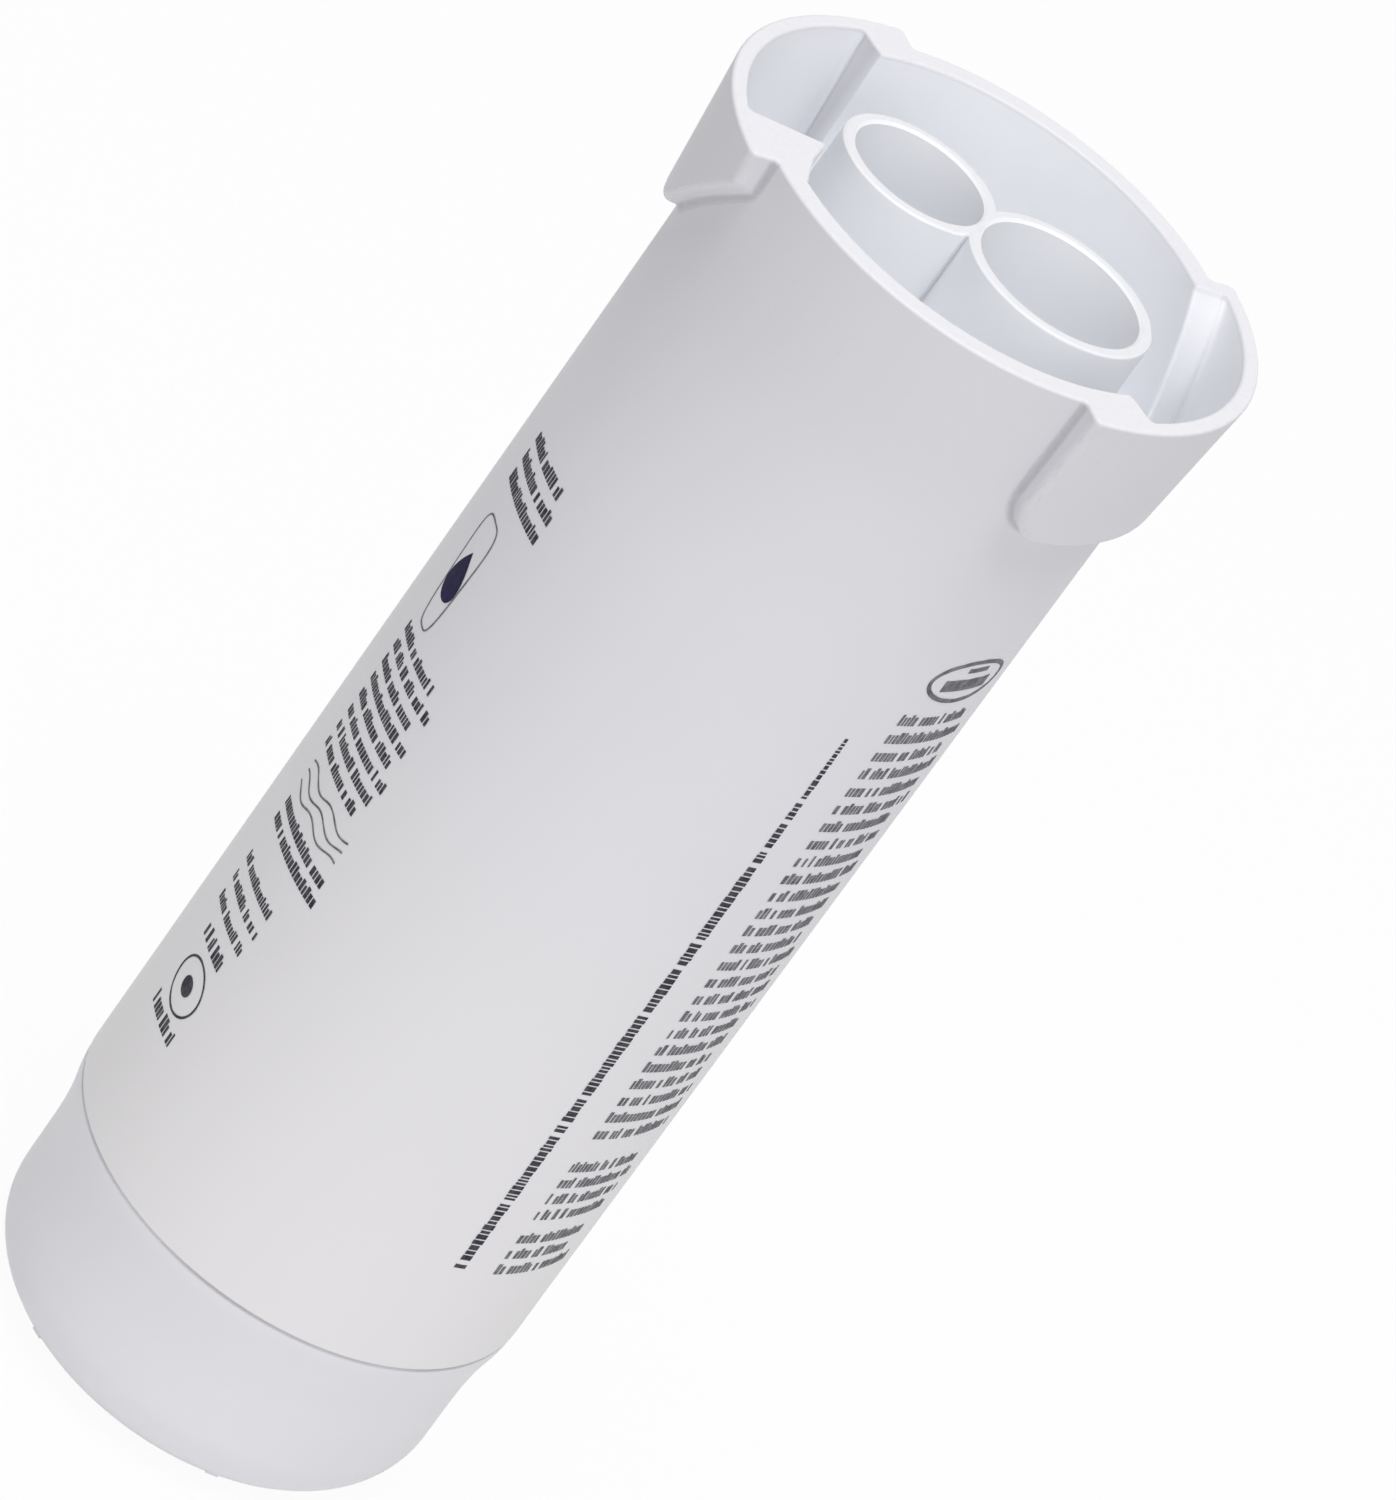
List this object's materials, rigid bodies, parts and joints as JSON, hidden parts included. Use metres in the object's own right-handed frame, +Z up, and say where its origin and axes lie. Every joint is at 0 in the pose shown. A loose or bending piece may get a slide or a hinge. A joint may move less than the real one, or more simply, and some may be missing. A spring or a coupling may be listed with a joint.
{
  "type": "refrigerator water filter cartridge",
  "caption": "Sealed upright water filter cartridge with a plain round body, hollow bayonet lugs, side-by-side port tubes in the head and a welded, round-edged bottom cap.",
  "frame": {"origin": "middle of the base, on the surface it stands on", "axes": "+Z up the cartridge's axis to the head, +X through the lugs and from the outlet port to the inlet port"},
  "size_m": [0.081, 0.0728, 0.216],
  "materials": {
    "housing_plastic": "satin white moulded plastic",
    "cap_plastic": "satin white moulded plastic",
    "carbon": "matt pressed carbon",
    "wrap_fabric": "white non-woven",
    "end_cap_plastic": "natural moulded plastic",
    "hot_melt": "milky hot-melt adhesive",
    "seal_rubber": "black rubber",
    "print_ink": "dark grey-blue print on the housing"
  },
  "bodies": {
    "root": {"housing": "housing_plastic", "bottom_cap": "cap_plastic", "carbon_block": "carbon", "prefilter_wrap": "wrap_fabric", "top_end_cap": "end_cap_plastic", "bottom_end_cap": "end_cap_plastic", "glue_disc_top": "hot_melt", "glue_disc_bottom": "hot_melt", "neck_o_ring_upper": "seal_rubber", "neck_o_ring_lower": "seal_rubber"}
  },
  "joints": []
}
